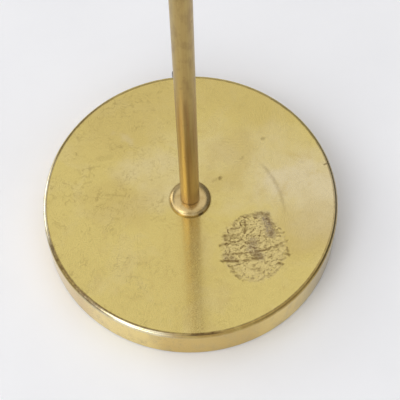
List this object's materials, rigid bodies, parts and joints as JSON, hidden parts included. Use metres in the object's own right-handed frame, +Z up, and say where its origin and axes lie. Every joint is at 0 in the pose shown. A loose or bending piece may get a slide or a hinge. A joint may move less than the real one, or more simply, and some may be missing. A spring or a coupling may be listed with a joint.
{
  "type": "floor lamp",
  "caption": "Brass floor lamp with a heavy round base, a slim polished stem, a jointed swing arm on friction knuckles and a tilting dome shade with a turn switch.",
  "frame": {"origin": "centre of the base's underside, on the floor", "axes": "+Z up along the stem; at rest the swing arm points along +X"},
  "size_m": [0.6062, 0.266, 1.31],
  "materials": {
    "base_brass": "aged polish, scratched",
    "brass": "polished",
    "shade_brass": "polished outside, white lacquer inside",
    "cast_iron": "sand cast",
    "felt": "felt",
    "steel": "zinc plated",
    "bakelite": "moulded",
    "terminal": "moulded",
    "fibre": "vulcanised fibre",
    "wire_sheath": "smooth",
    "opal_glass": "opal"
  },
  "bodies": {
    "stand": {"base_pad": "felt", "base_cover": "base_brass", "base_weight": "cast_iron", "cord_bush": "bakelite", "base_washer": "steel", "base_nut": "steel", "stem_nipple": "steel", "terminal_block": "terminal", "terminal_screws": "brass", "stem_collar": "brass", "stem_foot_bush": "brass", "stem_tube": "brass", "stem_head_bush": "brass", "stem_wire": "wire_sheath", "shoulder_pivot": "steel", "shoulder_washer": "fibre", "shoulder_spring": "steel", "shoulder_nut": "steel"},
    "inner_arm": {"shoulder_hub": "brass", "shoulder_cap": "brass", "inner_arm_tube": "brass", "inner_arm_wire": "wire_sheath", "elbow_base": "brass", "elbow_base_cap": "brass", "elbow_pivot": "steel", "elbow_washer": "fibre", "elbow_spring": "steel", "elbow_nut": "steel"},
    "outer_arm": {"elbow_hub": "brass", "elbow_cap": "brass", "outer_arm_tube": "brass", "outer_arm_wire": "wire_sheath", "arm_end_bush": "brass", "tilt_pivot": "steel", "tilt_washer": "fibre", "tilt_spring": "steel", "tilt_nut": "steel"},
    "head": {"tilt_hub": "brass", "tilt_cap": "brass", "neck_tube": "brass", "neck_ring": "brass", "neck_nut": "steel", "head_wire": "wire_sheath", "lampholder_cap": "brass", "lampholder_body": "bakelite", "socket_shell": "brass", "socket_contact": "brass", "shade_ring": "brass", "shade": "shade_brass", "bulb_screw_cap": "steel", "bulb_glass": "opal_glass", "switch_block": "bakelite", "switch_ring": "brass"},
    "switch": {"switch_spindle": "steel", "switch_knob": "brass"}
  },
  "joints": [
    {"name": "arm_swivel", "type": "hinge", "parent": "stand", "child": "inner_arm", "pos_m": [0, 0, 1.241], "axis": [0, 0, 1], "range_deg": [-170, 170]},
    {"name": "elbow_swivel", "type": "hinge", "parent": "inner_arm", "child": "outer_arm", "pos_m": [0.2, 0, 1.275], "axis": [0, 0, 1], "range_deg": [-110, 110]},
    {"name": "head_tilt", "type": "hinge", "parent": "outer_arm", "child": "head", "pos_m": [0.4, 0, 1.2955], "axis": [1, 0, 0], "range_deg": [-90, 90]},
    {"name": "switch_turn", "type": "hinge", "parent": "head", "child": "switch", "pos_m": [0.4, 0, 1.2385], "axis": [1, 0, 0], "range_deg": [0, 90]}
  ]
}
